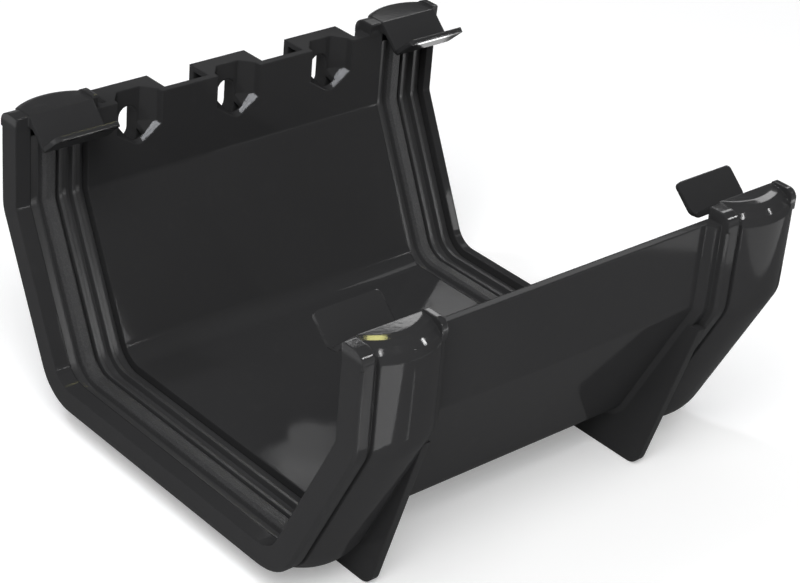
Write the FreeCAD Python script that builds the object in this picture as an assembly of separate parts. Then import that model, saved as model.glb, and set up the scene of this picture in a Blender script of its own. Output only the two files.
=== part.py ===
import FreeCAD, Part
import math
import os

# Union bracket for square gutter. X runs along the gutter, +Y is the fascia
# side, +Z is up. The origin is mid length and mid width, level with the wall top.

# Trough, measured on its inner surface
inner_width = 114.0
inner_depth = 56.7
wall = 1.9
crease_drop = 19.8
lean_deg = 25.8
crease_radius = 3.0
corner_radius = 6.5
length = 124.6

# Bands, alike at both ends: sizes along X run from the broad rim to the narrow
# one, and each rise is measured outward from the trough's inner surface
band_length = 21.7
flange_length = 1.7
flange_rise = 4.0
step_run = 1.0
rim_rise = 6.0
broad_rim_length = 3.3
narrow_rim_length = 1.5
rim_chamfer = 0.6
groove_width = 1.1
groove_floor_rise = 5.2
bulge_edge_rise = 6.2
bulge_crown = 2.0

# Seal pocket and seal; each share is of the length of the seal along X
pocket_start = 4.0
pocket_length = 15.4
pocket_rise = 4.6
seal_side_gap = 0.15
seal_top_drop = 3.5
seal_base = 2.5
broad_rib_rise = 1.9
broad_rib_shoulder = 0.6
thin_rib_rise = 1.6
broad_rib_start_share = 0.2
broad_rib_share = 0.28
thin_rib_start_shares = [0.5, 0.74]
thin_rib_share = 0.1

# Clips
broad_cheek_height = 2.9
narrow_cheek_height = 3.6
broad_cheek_radius = 2.85
narrow_cheek_radius = 2.2
cheek_inset = 0.3
front_crease_height = -0.8
front_shoulder_radius = 5.3
rear_crease_height = 2.2
rear_shoulder_radius = 1.5
hood_skin = 1.7
hook_ridge_height = 3.0
hook_ridge_inset = 0.4
hook_slope_deg = 43.0
hook_length = 8.1
hook_skin = 1.2
nose_radius = 2.0
tab_slope_deg = 42.0
tab_length = 7.9
tab_start = 2.45
tab_width = 17.0
tab_tip_radius = 1.2
nose_corner_radius = 2.6

# Fixing pockets on the back wall, spread evenly between the bands
pocket_count = 3
pocket_band_gap = 3.9
funnel_mouth = 12.6
funnel_waist = 12.0
funnel_back = 6.4
funnel_waist_depth = 1.8
funnel_depth = 5.0
funnel_drop = 12.4
funnel_side_fall = 0.65
funnel_front_fall = 0.32
funnel_valley_radius = 2.2
funnel_skin = 1.7
box_width = 16.2
box_depth = 9.1
box_height = 18.0
flange_plate = 1.3
rear_plate = 1.7
slot_width = 5.2
slot_length = 10.0
slot_drop = 9.2

# Fins under the front corner, one by each band's inner end
fin_band_gap = 0.1
fin_shift = -1.0
fin_thickness = 2.0
fin_foot_drop = 9.5
fin_top_drop = 25.6
fin_front_lean_deg = 16.0
fin_reach = 33.0
fin_back_slope_deg = 45.0
fin_tip_radius = 3.6

half_length = length / 2
half_width = inner_width / 2
lean = math.radians(lean_deg)
floor_half = half_width - (inner_depth - crease_drop) * math.tan(lean)
pitch = length - band_length
groove_start = -half_length + broad_rim_length
bulge_start = groove_start + groove_width
bulge_end = band_length - half_length - narrow_rim_length
bulge_middle = (bulge_start + bulge_end) / 2
bulge_radius = ((bulge_end - bulge_start) ** 2 / 4 + bulge_crown ** 2) / (2 * bulge_crown)
band_end = band_length - half_length
between_bands = length - 2 * band_length
pocket_pitch = (between_bands - box_width - 2 * pocket_band_gap) / (pocket_count - 1)
fin_spacing = between_bands - 2 * fin_band_gap
fin_drop = inner_depth + wall + fin_foot_drop
beyond = half_width / 2
pocket_near = -half_length + pocket_start
pocket_far = pocket_near + pocket_length


def vec(x, y, z):
    return FreeCAD.Vector(x, y, z)


def closed_face(points):
    """Face from corner points; a (mid, end) pair draws an arc to end."""
    edges = []
    last = points[0]
    for item in points[1:] + [points[0]]:
        if isinstance(item, tuple):
            edges.append(Part.Arc(last, item[0], item[1]).toShape())
            last = item[1]
        elif item.distanceToPoint(last) > 1e-6:
            edges.append(Part.makeLine(last, item))
            last = item
    return Part.Face(Part.Wire(edges))


def rounded_face(corners):
    """Face from (point, radius) corners, each radius rounding its corner."""
    points = []
    count = len(corners)
    for i in range(count):
        corner, radius = corners[i]
        if radius == 0:
            points.append(corner)
            continue
        back = (corners[i - 1][0] - corner).normalize()
        ahead = (corners[(i + 1) % count][0] - corner).normalize()
        half = back.getAngle(ahead) / 2
        centre = corner + (back + ahead).normalize() * (radius / math.sin(half))
        reach = radius / math.tan(half)
        middle = centre + (corner - centre).normalize() * radius
        points.append(corner + back * reach)
        points.append((middle, corner + ahead * reach))
    return closed_face(points)


def fused(solids):
    return solids[0].multiFuse(solids[1:]).removeSplitter()


def other_side(shape):
    return shape.mirror(vec(0, 0, 0), vec(0, 1, 0))


def moved(shape, x):
    copy = shape.copy()
    copy.translate(vec(x, 0, 0))
    return copy


def swept_round_trough(section, top):
    """Carry an (x, outward) section round the trough from top to top."""
    bend_1 = crease_radius * math.tan(lean / 2)
    bend_2 = corner_radius * math.tan((math.pi / 2 - lean) / 2)
    slope = (inner_depth - crease_drop) / math.cos(lean) - bend_1 - bend_2
    face = closed_face(section_points(section, top))
    axis = vec(1, 0, 0)

    pieces = []
    run = vec(0, 0, bend_1 - crease_drop - top)
    pieces.append(face.extrude(run))
    face.translate(run)
    centre = vec(0, crease_radius - half_width, bend_1 - crease_drop)
    pieces.append(face.revolve(centre, axis, lean_deg))
    face.rotate(centre, axis, lean_deg)
    run = vec(0, math.sin(lean), -math.cos(lean)) * slope
    pieces.append(face.extrude(run))
    face.translate(run)
    centre = vec(0, bend_2 - floor_half, corner_radius - inner_depth)
    pieces.append(face.revolve(centre, axis, 90 - lean_deg))
    face.rotate(centre, axis, 90 - lean_deg)
    pieces.append(face.extrude(vec(0, floor_half - bend_2, 0)))

    whole = []
    for piece in pieces:
        whole += [piece, other_side(piece)]
    return fused(whole)


def section_points(section, z):
    """Place (x, outward) points on the front wall at height z."""
    points = []
    for item in section:
        if len(item) == 2:
            points.append(vec(item[0], -half_width - item[1], z))
        else:
            mid = vec(item[0], -half_width - item[1], z)
            end = vec(item[2], -half_width - item[3], z)
            points.append((mid, end))
    return points


def shifted(section, run):
    """The same section, moved along the trough."""
    result = []
    for item in section:
        if len(item) == 2:
            result.append((item[0] + run, item[1]))
        else:
            result.append((item[0] + run, item[1], item[2] + run, item[3]))
    return result


def band_outline():
    """Outer contour of the left band, from its mouth inward."""
    return [
        (-half_length, rim_rise - rim_chamfer),
        (-half_length + rim_chamfer, rim_rise),
        (groove_start, rim_rise),
        (groove_start, groove_floor_rise),
        (bulge_start, groove_floor_rise),
        (bulge_start, bulge_edge_rise),
        (bulge_middle, bulge_edge_rise + bulge_crown, bulge_end, bulge_edge_rise),
        (bulge_end, rim_rise),
        (band_end - rim_chamfer, rim_rise),
        (band_end, rim_rise - rim_chamfer),
    ]


def trough():
    """Trough wall with both bands and the seal pockets inside them."""
    step = [
        (band_end, flange_rise),
        (band_end + flange_length, flange_rise),
        (band_end + flange_length + step_run, wall),
    ]
    other_step = [(-x, rise) for x, rise in reversed(step)]
    pocket = [
        (pocket_far, 0),
        (pocket_far, pocket_rise),
        (pocket_near, pocket_rise),
        (pocket_near, 0),
    ]
    section = [(-half_length, 0)] + band_outline() + step
    section += other_step + shifted(band_outline(), pitch) + [(half_length, 0)]
    section += shifted(pocket, pitch) + pocket
    return swept_round_trough(section, 0)


def yz(outward, z):
    """Point of the front side, by its distance outward of the inner surface."""
    return vec(0, -half_width - outward, z)


def across_band(face, start, end):
    face.translate(vec(start, 0, 0))
    return face.extrude(vec(end - start, 0, 0))


def wall_section(skin):
    """Bulge and groove as the wall carries them up, or the hollow in that skin."""
    edge = bulge_edge_rise - skin
    crown = edge + bulge_crown
    if skin > 0:
        near = max(pocket_near, groove_start + skin)
        arch = (bulge_middle, crown, pocket_far, edge)
        return [(near, -beyond), (near, edge), arch, (pocket_far, -beyond)]
    return [
        (groove_start, -beyond),
        (groove_start, groove_floor_rise),
        (bulge_start, groove_floor_rise),
        (bulge_start, edge),
        (bulge_middle, crown, bulge_end, edge),
        (bulge_end, -beyond),
    ]


def hood_roof(skin, crease_height, shoulder_radius):
    """Everything under the roof: flat from the ridge, then rounding down to the crease."""
    drop = hook_ridge_height - crease_height
    turn = math.acos(1 - drop / shoulder_radius)
    flat = bulge_radius - shoulder_radius * math.sin(turn)
    radius = max(shoulder_radius - skin, wall / 5)
    top = hook_ridge_height - skin
    axis = yz(bulge_edge_rise + bulge_crown - bulge_radius, 0) + vec(bulge_middle, 0, 0)

    def rounding(angle):
        return vec(flat + radius * math.sin(angle), 0, top - radius * (1 - math.cos(angle)))

    below = rounding(turn) + vec(math.cos(turn), 0, -math.sin(turn))
    steps = 4 if skin == 0 else 1
    shoulder = [rounding(turn * step / steps) for step in range(1, steps + 1)]
    profile = [vec(0, 0, -beyond), vec(0, 0, top), vec(flat, 0, top)]
    profile += shoulder + [below, vec(below.x, 0, -beyond)]
    roof = closed_face(profile).revolve(vec(0, 0, 0), vec(0, 0, 1), 360)
    roof.translate(axis)
    return roof


def hook_ridge():
    return yz(-hook_ridge_inset, hook_ridge_height)


def behind_hook(skin):
    """Everything on the wall side of the hook arm, less that skin."""
    slope = math.radians(hook_slope_deg)
    fall = vec(0, math.cos(slope), -math.sin(slope))
    outward = vec(0, -math.sin(slope), -math.cos(slope))
    ridge = hook_ridge() + outward * skin
    low = ridge + fall * beyond
    high = ridge - fall * beyond
    face = closed_face([low, high, high + outward * beyond, low + outward * beyond])
    return across_band(face, -half_length, band_end)


def plate(root, run, normal, start, end, radii):
    """Plate from a root line, with a radius for each corner in turn."""
    near_start = root + vec(start, 0, 0)
    near_end = root + vec(end, 0, 0)
    corners = [near_start, near_end, near_end + run, near_start + run]
    return rounded_face(list(zip(corners, radii))).extrude(normal * hook_skin * 2)


def hook():
    """Arm falling inward from the hood's ridge, with the release tab rising from it."""
    slope = math.radians(hook_slope_deg)
    rise = math.radians(tab_slope_deg)
    fall = vec(0, math.cos(slope), -math.sin(slope))
    under = vec(0, -math.sin(slope), -math.cos(slope))
    climb = vec(0, math.cos(rise), math.sin(rise))
    below = vec(0, math.sin(rise), -math.cos(rise))
    ridge = hook_ridge()
    nose = ridge + fall * hook_length
    tip = nose + climb * tab_length
    nose_depth = (under + below) * (hook_skin / (1 + under.dot(below)))
    profile = rounded_face([
        (ridge, 0),
        (nose, 0),
        (tip, 0),
        (tip + below * hook_skin, 0),
        (nose + nose_depth, nose_radius),
        (ridge + under * hook_skin, 0),
    ])
    folded = across_band(profile, -half_length, band_end)
    extra = hook_skin / math.tan((math.pi - slope - rise) / 2)
    arm_run = fall * (hook_length + extra)
    arm_radii = [0, 0, nose_corner_radius, 0]
    arm = plate(ridge, arm_run, under, groove_start, bulge_end, arm_radii)
    tab_run = climb * (tab_length + extra)
    tab_left = tab_start - half_length
    tab_radii = [nose_corner_radius, nose_corner_radius, tab_tip_radius, tab_tip_radius]
    tab = plate(nose - climb * extra, tab_run, below, tab_left, tab_left + tab_width, tab_radii)
    return [arm.common(folded), tab.common(folded)]


def cheek(start, end, height, radius):
    """A band's rim carried above the wall beside the hood."""
    profile = rounded_face([
        (yz(0, -1), 0),
        (yz(rim_rise, -1), 0),
        (yz(rim_rise, height), radius),
        (yz(-cheek_inset, height), 0.5),
    ])
    return across_band(profile, start, end)


def clip(crease_height, shoulder_radius):
    """Clip on the left of the front wall: hood, hook, release tab and two cheeks."""
    upright = closed_face(section_points(wall_section(0), 0)).extrude(vec(0, 0, beyond))
    roof = hood_roof(0, crease_height, shoulder_radius)
    hood = upright.common(roof).common(behind_hook(0))
    inside = closed_face(section_points(wall_section(hood_skin), -pocket_rise))
    inside = inside.extrude(vec(0, 0, beyond))
    inside = inside.common(hood_roof(hood_skin, crease_height, shoulder_radius))
    hood = hood.cut(inside.common(behind_hook(hook_skin)))
    broad = cheek(-half_length, groove_start, broad_cheek_height, broad_cheek_radius)
    narrow = cheek(bulge_end, band_end, narrow_cheek_height, narrow_cheek_radius)
    return fused([hood, broad, narrow] + hook())


def roof_clearance():
    """What the front hood's sloping roof takes off the bulge below the wall top."""
    width = bulge_end - groove_start
    start = yz(bulge_edge_rise + bulge_crown, front_crease_height * 2) + vec(groove_start, 0, 0)
    block = Part.makeBox(width, bulge_edge_rise, -front_crease_height * 2, start)
    return block.cut(hood_roof(0, front_crease_height, front_shoulder_radius))


def fin():
    """Gusset under the front corner, across x = 0."""
    front_run = (fin_drop - fin_top_drop) * math.tan(math.radians(fin_front_lean_deg))
    tip_y = front_run - half_width - flange_rise
    heel_y = tip_y + fin_reach
    back_run = (fin_drop - inner_depth) / math.tan(math.radians(fin_back_slope_deg))
    inside = wall / 3
    face = rounded_face([
        (yz(flange_rise, -fin_top_drop), 0),
        (vec(0, tip_y, -fin_drop), fin_tip_radius),
        (vec(0, heel_y, -fin_drop), fin_tip_radius),
        (vec(0, heel_y + back_run - inside, -inner_depth - inside), 0),
        (vec(0, -floor_half - inside, -inner_depth - inside), 0),
        (yz(inside, -fin_top_drop), 0),
    ])
    return across_band(face, -fin_thickness / 2, fin_thickness / 2)


def funnel(grow):
    """Half-hexagon prism down to a valley falling to the front, around x = 0."""
    half_plan = [
        (funnel_mouth / 2 + grow, grow),
        (funnel_waist / 2 + grow, funnel_waist_depth + grow / 2),
        (funnel_back / 2 + grow / 2, funnel_depth + grow),
    ]
    if grow == 0:
        half_plan = [(funnel_mouth / 2, -2 * wall)] + half_plan
    right = [vec(x, half_width + depth, -beyond) for x, depth in half_plan]
    left = [vec(-x, half_width + depth, -beyond) for x, depth in reversed(half_plan)]
    prism = closed_face(right + left).extrude(vec(0, 0, 2 * beyond))
    start_y = half_width - beyond
    bottom = -funnel_drop - grow - funnel_front_fall * beyond
    side = bottom + beyond * funnel_side_fall
    valley = rounded_face([
        (vec(0, start_y, bottom), funnel_valley_radius + grow),
        (vec(beyond, start_y, side), 0),
        (vec(beyond, start_y, bottom + 2 * beyond), 0),
        (vec(-beyond, start_y, bottom + 2 * beyond), 0),
        (vec(-beyond, start_y, side), 0),
    ]).extrude(vec(0, 2 * beyond, 2 * beyond * funnel_front_fall))
    return prism.common(valley)


def fixing_box():
    """Top flange, fascia plate and funnel shell of one fixing pocket."""
    back = half_width + box_depth
    start = vec(-box_width / 2, half_width + wall / 2, -flange_plate)
    top = Part.makeBox(box_width, box_depth - wall / 2, flange_plate, start)
    start = vec(-box_width / 2, back - rear_plate, -box_height)
    rear = Part.makeBox(box_width, rear_plate, box_height, start)
    shell = funnel(funnel_skin)
    start = vec(-beyond, half_width + wall / 2, -beyond)
    trim = Part.makeBox(2 * beyond, box_depth - wall / 2, beyond, start)
    neck_width = slot_width + 2 * funnel_skin
    start = vec(-neck_width / 2, half_width + funnel_depth, -box_height)
    neck = Part.makeBox(neck_width, box_depth - funnel_depth, box_height, start)
    return fused([top, rear, shell.common(trim), neck])


def fixing_cut():
    """Funnel opening and the upright screw slot behind it."""
    radius = slot_width / 2
    half_run = slot_length / 2 - radius
    y = half_width + funnel_waist_depth
    high = vec(0, y, half_run - slot_drop)
    low = vec(0, y, -half_run - slot_drop)
    side = vec(radius, 0, 0)
    up = vec(0, 0, radius)
    outline = [low - side, high - side, (high + up, high + side), low + side, (low - up, low - side)]
    slot = closed_face(outline).extrude(vec(0, box_depth, 0))
    return funnel(0).fuse(slot)


def union_body():
    spare = roof_clearance()
    pieces = [trough().cut(spare).cut(moved(spare, pitch))]
    front = clip(front_crease_height, front_shoulder_radius)
    rear = other_side(clip(rear_crease_height, rear_shoulder_radius))
    for shape in (front, rear):
        pieces += [shape, moved(shape, pitch)]
    pieces += [moved(fin(), fin_shift - fin_spacing / 2), moved(fin(), fin_shift + fin_spacing / 2)]
    box = fixing_box()
    cut = fixing_cut()
    first = -pocket_pitch * (pocket_count - 1) / 2
    spots = [first + pocket_pitch * i for i in range(pocket_count)]
    pieces += [moved(box, x) for x in spots]
    body = fused(pieces)
    for x in spots:
        body = body.cut(moved(cut, x))
    return body.removeSplitter()


def broad_rib(start, run, base):
    """Section of the rib that takes the gutter's end, leaning a little to the mouth."""
    top = base - broad_rib_rise
    return [
        (start, base),
        (start + run * 0.1, top + broad_rib_shoulder),
        (start + run * 0.26, top),
        (start + run * 0.79, top),
        (start + run * 0.95, top + broad_rib_shoulder),
        (start + run, base),
    ]


def thin_rib(start, run, base):
    """Section of a wiping rib, steep towards the mouth."""
    top = base - thin_rib_rise
    return [(start, base), (start + run / 8, top), (start + run * 2 / 3, top), (start + run, base)]


def seal(shift):
    """Rubber strip in a pocket: a broad rib and two thin ones on a base."""
    mouth = shift + pocket_near + seal_side_gap
    seal_length = pocket_length - 2 * seal_side_gap
    base = pocket_rise - seal_base
    ribs = broad_rib(mouth + seal_length * broad_rib_start_share, seal_length * broad_rib_share, base)
    for place in thin_rib_start_shares:
        ribs += thin_rib(mouth + seal_length * place, seal_length * thin_rib_share, base)
    inner = mouth + seal_length
    section = [(mouth, pocket_rise), (mouth, base)] + ribs + [(inner, base), (inner, pocket_rise)]
    return swept_round_trough(section, -seal_top_drop)


os.makedirs("parts", exist_ok=True)
union_body().exportStep("parts/union_body.step")
seal(0).exportStep("parts/seal_left.step")
seal(pitch).exportStep("parts/seal_right.step")
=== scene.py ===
import math

import bpy
import bmesh
from mathutils import Matrix, Vector


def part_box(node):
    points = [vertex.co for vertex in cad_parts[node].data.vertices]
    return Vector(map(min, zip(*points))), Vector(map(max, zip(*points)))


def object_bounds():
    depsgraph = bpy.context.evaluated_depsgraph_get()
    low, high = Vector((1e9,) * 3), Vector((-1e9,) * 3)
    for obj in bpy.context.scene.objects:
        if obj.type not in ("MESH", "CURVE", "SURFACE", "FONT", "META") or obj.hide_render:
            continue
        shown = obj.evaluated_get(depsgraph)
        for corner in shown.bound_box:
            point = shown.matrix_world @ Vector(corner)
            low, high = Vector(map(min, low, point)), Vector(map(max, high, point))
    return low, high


# Gutter union, black moulded plastic with two rubber seals. Metres, +Z up,
# X along the gutter, +Y towards the fascia, as in the solid model.

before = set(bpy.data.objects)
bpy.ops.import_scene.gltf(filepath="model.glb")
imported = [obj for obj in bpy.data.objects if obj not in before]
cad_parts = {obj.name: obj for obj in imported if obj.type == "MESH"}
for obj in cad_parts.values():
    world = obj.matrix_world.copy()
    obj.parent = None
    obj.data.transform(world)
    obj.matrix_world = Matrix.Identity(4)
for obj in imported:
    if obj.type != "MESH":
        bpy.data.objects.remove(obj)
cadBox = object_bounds()
print("frame loaded:", sorted(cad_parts))


# Shader helpers

class Wire:
    # a socket that adds Math nodes when it is used in an expression
    def __init__(self, finish, socket):
        self.finish = finish
        self.socket = socket

    def maths(self, operation, first, second=0.0):
        return self.finish.node("ShaderNodeMath", {"operation": operation}, {0: first, 1: second})

    def __add__(self, other):
        return self.maths("ADD", self, other)

    def __sub__(self, other):
        return self.maths("SUBTRACT", self, other)

    def __mul__(self, other):
        return self.maths("MULTIPLY", self, other)

    def larger(self, other):
        return self.maths("MAXIMUM", self, other)

    def size(self):
        return self.maths("ABSOLUTE", self)


class Finish:
    # the node tree of one material or world; every node comes from node()
    def __init__(self, owner, output="ShaderNodeOutputMaterial"):
        owner.use_nodes = True
        self.owner = owner
        self.tree = owner.node_tree
        self.tree.nodes.clear()
        self.output = self.tree.nodes.new(output)

    def node(self, kind, settings=None, inputs=None, output=0):
        made = self.tree.nodes.new(kind)
        for name, value in (settings or {}).items():
            setattr(made, name, value)
        for name, value in (inputs or {}).items():
            if isinstance(value, Wire):
                self.tree.links.new(value.socket, made.inputs[name])
            else:
                made.inputs[name].default_value = value
        return Wire(self, made.outputs[output])

    def noise(self, place, scale, detail, roughness=0.5):
        return self.node("ShaderNodeTexNoise", {}, {
            "Vector": place, "Scale": scale, "Detail": detail, "Roughness": roughness})

    def fleck(self, grain, stops):
        # 0 below the first stop, 1 above the second
        wire = self.node("ShaderNodeValToRGB", {}, {"Fac": grain})
        for element, stop, level in zip(wire.socket.node.color_ramp.elements, stops, (0.0, 1.0)):
            element.position = stop
            element.color = (level, level, level, 1.0)
        return wire

    def fade(self, value, start, end, low, high):
        return self.node("ShaderNodeMapRange", {"interpolation_type": "SMOOTHSTEP"}, {
            0: value, 1: start, 2: end, 3: low, 4: high})

    def tone(self, factor, dark, pale):
        # between two greys with a trace of blue
        return self.node("ShaderNodeMix", {"data_type": "RGBA"}, {
            "Factor": factor,
            6: (dark, dark, dark * 1.03, 1.0),
            7: (pale, pale, pale * 1.02, 1.0)}, output=2)

    def bump(self, under, height, strength, distance):
        return self.node("ShaderNodeBump", {}, {
            "Strength": strength, "Distance": distance, "Height": height, "Normal": under})

    def shade(self, surface):
        self.tree.links.new(surface.socket, self.output.inputs["Surface"])
        return self.owner


# Camera, where the photograph was taken from

camera = {
    "place": (-0.31340, -0.33910, 0.22784),
    "azimuth": -43.177,
    "elevation": 29.429,
    "roll": 5.078,
    "lens": 104.36,
    "sensor": 36.0,
    "nearest": 0.01,
    "farthest": 50.0,
}


def placeCamera(c):
    azimuth, elevation, roll = (math.radians(c[k]) for k in ("azimuth", "elevation", "roll"))
    back = Vector((
        math.sin(azimuth) * math.cos(elevation),
        -math.cos(azimuth) * math.cos(elevation),
        math.sin(elevation)))
    right = (-back).cross(Vector((0, 0, 1))).normalized()
    up = right.cross(-back)
    turned = right * math.cos(roll) + up * math.sin(roll)
    upright = up * math.cos(roll) - right * math.sin(roll)
    data = bpy.data.cameras.new("camera")
    data.lens = c["lens"]
    data.sensor_width = c["sensor"]
    data.clip_start = c["nearest"]
    data.clip_end = c["farthest"]
    item = bpy.data.objects.new("camera", data)
    turn = Matrix((turned, upright, back)).transposed()
    item.matrix_world = Matrix.Translation(c["place"]) @ turn.to_4x4()
    bpy.context.collection.objects.link(item)
    bpy.context.scene.camera = item


placeCamera(camera)
print("camera placed")


# Body plastic: black, with a thin gloss that is strongest on top of the clips

plastic = {
    "deep": 0.028,
    "worn": 0.034,
    "flowInTone": 0.6,
    "scuffInTone": 0.4,
    "mattRoughness": 0.1,
    "gloss": 0.07,
    "flowInGloss": 0.02,
    "scuffInGloss": 0.05,
    "shine": 0.07,
    "clipShine": 0.40,
    "clipFoot": 0.0003,
    "clipTop": 0.0014,
    "flowScale": 38.0,
    "grainScale": 900.0,
    "scuffScale": 240.0,
    "scuffStops": (0.56, 0.74),
    "flowInBump": 0.7,
    "grainInBump": 0.3,
    "bumpStrength": 0.05,
    "bumpDistance": 0.0004,
    "edgeRadius": 0.00055,
    "edgeSamples": 6,
}


def bodyPlastic(p):
    finish = Finish(bpy.data.materials.new("bodyPlastic"))
    place = finish.node("ShaderNodeTexCoord", output=3)
    flow = finish.noise(place, p["flowScale"], 3.0)
    grain = finish.noise(place, p["grainScale"], 2.0, 0.6)
    scuff = finish.fleck(finish.noise(place, p["scuffScale"], 5.0, 0.7), p["scuffStops"])
    tone = finish.tone(
        flow * p["flowInTone"] + scuff * p["scuffInTone"], p["deep"], p["worn"])
    rounded = finish.node(
        "ShaderNodeBevel", {"samples": p["edgeSamples"]}, {"Radius": p["edgeRadius"]})
    skin = finish.bump(
        rounded, flow * p["flowInBump"] + grain * p["grainInBump"],
        p["bumpStrength"], p["bumpDistance"])
    matt = finish.node("ShaderNodeBsdfPrincipled", {}, {
        "Base Color": tone,
        "Roughness": p["mattRoughness"],
        "Specular IOR Level": 0.0,
        "Normal": skin})
    glossy = finish.node("ShaderNodeBsdfPrincipled", {}, {
        "Base Color": tone,
        "Roughness": (flow - 0.5) * p["flowInGloss"] + p["gloss"] + scuff * p["scuffInGloss"],
        "Normal": skin})
    height = finish.node("ShaderNodeSeparateXYZ", {}, {0: place}, output=2)
    share = finish.fade(height, p["clipFoot"], p["clipTop"], p["shine"], p["clipShine"])
    return finish.shade(finish.node("ShaderNodeMixShader", {}, {0: share, 1: matt, 2: glossy}))


# Seal rubber: satin base and thin ribs, pale grain on the broad rib

rubber = {
    "deep": 0.034,
    "pale": 0.056,
    "flowInTone": 0.3,
    "speckInTone": 0.7,
    "gloss": 0.38,
    "broadInGloss": 0.05,
    "flowInGloss": 0.1,
    "shine": 0.25,
    "broadStart": -0.05475,
    "broadEnd": -0.05115,
    "broadFade": 0.0003,
    "grainScale": 2600.0,
    "flowScale": 60.0,
    "speckStops": (0.50, 0.64),
    "grainStrength": 0.55,
    "skinStrength": 0.08,
    "bumpDistance": 0.0003,
    "edgeRadius": 0.0004,
    "edgeSamples": 6,
}


def sealRubber(name, p, shift):
    # shift: how far this seal stands from the left one, along X
    finish = Finish(bpy.data.materials.new(name))
    place = finish.node("ShaderNodeTexCoord", output=3)
    along = finish.node("ShaderNodeSeparateXYZ", {}, {0: place})
    middle = shift + (p["broadStart"] + p["broadEnd"]) / 2
    reach = (p["broadEnd"] - p["broadStart"]) / 2
    broad = finish.fade((along - middle).size(), reach + p["broadFade"], reach, 0.0, 1.0)
    grain = finish.noise(place, p["grainScale"], 3.0, 0.65)
    speck = finish.fleck(grain, p["speckStops"])
    flow = finish.noise(place, p["flowScale"], 3.0)
    tone = finish.tone(
        flow * p["flowInTone"] + broad * speck * p["speckInTone"], p["deep"], p["pale"])
    rounded = finish.node(
        "ShaderNodeBevel", {"samples": p["edgeSamples"]}, {"Radius": p["edgeRadius"]})
    rough = finish.bump(rounded, broad * grain, p["grainStrength"], p["bumpDistance"])
    skin = finish.bump(rough, grain + flow, p["skinStrength"], p["bumpDistance"])
    return finish.shade(finish.node("ShaderNodeBsdfPrincipled", {}, {
        "Base Color": tone,
        "Roughness": broad * p["broadInGloss"] + p["gloss"] + (flow - 0.5) * p["flowInGloss"],
        "Specular IOR Level": p["shine"],
        "Normal": skin}))


def dress(node, material):
    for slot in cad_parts[node].material_slots:
        slot.material = material


leftSeal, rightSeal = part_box("seal_left"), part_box("seal_right")
bandRun = sum(rightSeal[i][0] - leftSeal[i][0] for i in (0, 1)) / 2
dress("union_body", bodyPlastic(plastic))
dress("seal_left", sealRubber("sealRubberLeft", rubber, 0.0))
dress("seal_right", sealRubber("sealRubberRight", rubber, bandRun))
print("materials given, bands are", round(bandRun, 4), "apart")


# Floor and world. Direct, mirrored and see-through rays meet a white floor and
# a white horizon under a dark ceiling, other rays meet plain light.

studio = {
    "floorReach": 3.0,
    "floorGap": 0.0002,
    "floorTone": 0.88,
    "floorLift": 0.27,
    "worldLight": 0.40,
    "horizon": 1.0,
    "horizonTop": 0.16,
    "ceiling": 0.08,
    "ceilingStart": 0.30,
}


def shownRays(finish):
    rays = finish.node("ShaderNodeLightPath").socket.node.outputs
    seen, mirrored, through = (
        Wire(finish, rays["Is " + kind + " Ray"]) for kind in ("Camera", "Glossy", "Transmission"))
    return seen.larger(mirrored).larger(through)


def floorFinish(s):
    finish = Finish(bpy.data.materials.new("paleFloor"))
    matt = finish.node("ShaderNodeBsdfDiffuse", {}, {"Color": (s["floorTone"],) * 3 + (1.0,)})
    lift = finish.node("ShaderNodeEmission", {}, {"Strength": shownRays(finish) * s["floorLift"]})
    return finish.shade(finish.node("ShaderNodeAddShader", {}, {0: matt, 1: lift}))


def layFloor(s):
    shape = bmesh.new()
    bmesh.ops.create_grid(shape, x_segments=1, y_segments=1, size=s["floorReach"])
    bmesh.ops.translate(shape, vec=(0, 0, cadBox[0][2] - s["floorGap"]), verts=shape.verts)
    mesh = bpy.data.meshes.new("floor")
    shape.to_mesh(mesh)
    shape.free()
    item = bpy.data.objects.new("floor", mesh)
    mesh.materials.append(floorFinish(s))
    bpy.context.collection.objects.link(item)


def lightWorld(s):
    finish = Finish(bpy.data.worlds.new("studio"), "ShaderNodeOutputWorld")
    place = finish.node("ShaderNodeTexCoord")
    height = finish.node("ShaderNodeSeparateXYZ", {}, {0: place}, output=2)
    fall = finish.fade(height, s["horizonTop"], s["ceilingStart"], s["horizon"], s["ceiling"])
    plain = finish.node("ShaderNodeBackground", {}, {"Strength": s["worldLight"]})
    white = finish.node("ShaderNodeBackground", {}, {"Strength": fall})
    bpy.context.scene.world = finish.shade(finish.node("ShaderNodeMixShader", {}, {
        0: shownRays(finish), 1: plain, 2: white}))


layFloor(studio)
lightWorld(studio)
print("floor and world set")


# Lamps and cards: place, what it faces, width, height, turn, power. A card is a
# small lamp that shows only in the gloss, where the photograph has a light patch.

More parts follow.
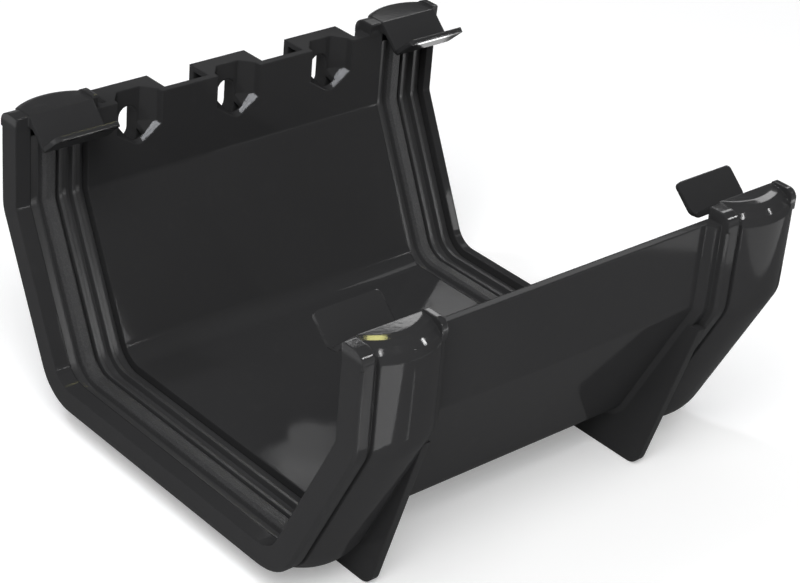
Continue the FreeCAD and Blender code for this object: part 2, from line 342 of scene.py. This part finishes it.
lamps = {
    "fill": ((-0.62, -0.58, 1.02), (0, 0, -0.03), 0.9, 0.9, 0, 15.5),
    "keyGlint": ((-0.391, 0.423, 1.174), (0.003, 0.060, -0.010), 0.21, 0.04, 71.8, 2.6),
}
cards = {
    "windowNear": ((0.762, 0.911, 0.741), (-0.031, -0.010, -0.057), 0.060, 0.055, 0, 0.092),
    "windowFar": ((0.893, 0.882, 0.640), (0.036, 0.017, -0.057), 0.050, 0.045, 0, 0.096),
    "ridgeStrip": ((0.196, 0.115, 0.150), (0.0, -0.058, 0.003), 0.200, 0.050, 0, 0.26),
    "cornerLeft": ((0.287, -0.466, 0.278), (-0.060, -0.062, 0.001), 0.035, 0.035, 0, 0.22),
    "cornerRight": ((0.464, -0.331, 0.332), (0.041, -0.062, 0.001), 0.035, 0.035, 0, 0.22),
    "shoulderLeft": ((-0.089, -0.420, 0.482), (-0.057, -0.062, 0.001), 0.025, 0.025, 0, 0.16),
    "shoulderRight": ((0.113, -0.425, 0.474), (0.046, -0.062, 0.001), 0.025, 0.025, 0, 0.16),
    "warmSpot": ((0.235, 0.214, 0.450), (-0.060, -0.063, 0.002), 0.045, 0.025, 0, 0.10),
    "rearStrip": ((0.232, 0.350, 0.164), (0.01, 0.062, 0.0), 0.220, 0.030, 0, 0.040),
    "tabGlint": ((0.111, 0.096, -0.066), (0.111, 0.096, 0.5), 0.026, 0.030, 10.0, 0.024),
    "sealLeft": ((-0.0050, -0.0335, -0.0290), (-0.0484, 0.0425, -0.0500), 0.013, 0.018, 0, 0.021),
    "sealRight": ((0.1150, -0.0270, -0.0328), (0.0602, 0.0418, -0.0517), 0.012, 0.018, 0, 0.019),
    "lowNear": ((-0.052, -0.161, -0.066), (-0.052, -0.161, 0.5), 0.100, 0.050, 129.4, 0.27),
    "lowEdge": ((0.001, -0.130, -0.066), (0.001, -0.130, 0.5), 0.040, 0.004, 135.4, 0.0038),
    "lowFar": ((0.130, -0.180, -0.066), (0.130, -0.180, 0.5), 0.220, 0.080, 39.5, 0.34),
}
glow = {"warmSpot": (1.0, 0.96, 0.35), "keyGlint": (0.93, 0.95, 1.0)}
plainGlow = (1.0, 1.0, 1.0)


def hangLamp(name, place, target, width, height, turn, power):
    data = bpy.data.lights.new(name, "AREA")
    data.shape = "RECTANGLE"
    data.size = width
    data.size_y = height
    data.energy = power
    data.color = glow.get(name, plainGlow)
    item = bpy.data.objects.new(name, data)
    back = (Vector(place) - Vector(target)).normalized()
    facing = back.to_track_quat("Z", "Y").to_matrix().to_4x4()
    # one that faces straight up has its width along X
    if back.z < -0.999:
        facing = Matrix.Rotation(math.pi, 4, "X")
    spun = Matrix.Rotation(math.radians(-turn), 4, "Z")
    item.matrix_world = Matrix.Translation(place) @ facing @ spun
    item.visible_camera = False
    bpy.context.collection.objects.link(item)
    return item


for lampName, lampSetting in lamps.items():
    hangLamp(lampName, *lampSetting).visible_glossy = lampName != "fill"
for cardName, cardSetting in cards.items():
    hangLamp(cardName, *cardSetting).visible_diffuse = False
print("lamps and cards hung")

bpy.context.scene.view_settings.view_transform = "Standard"
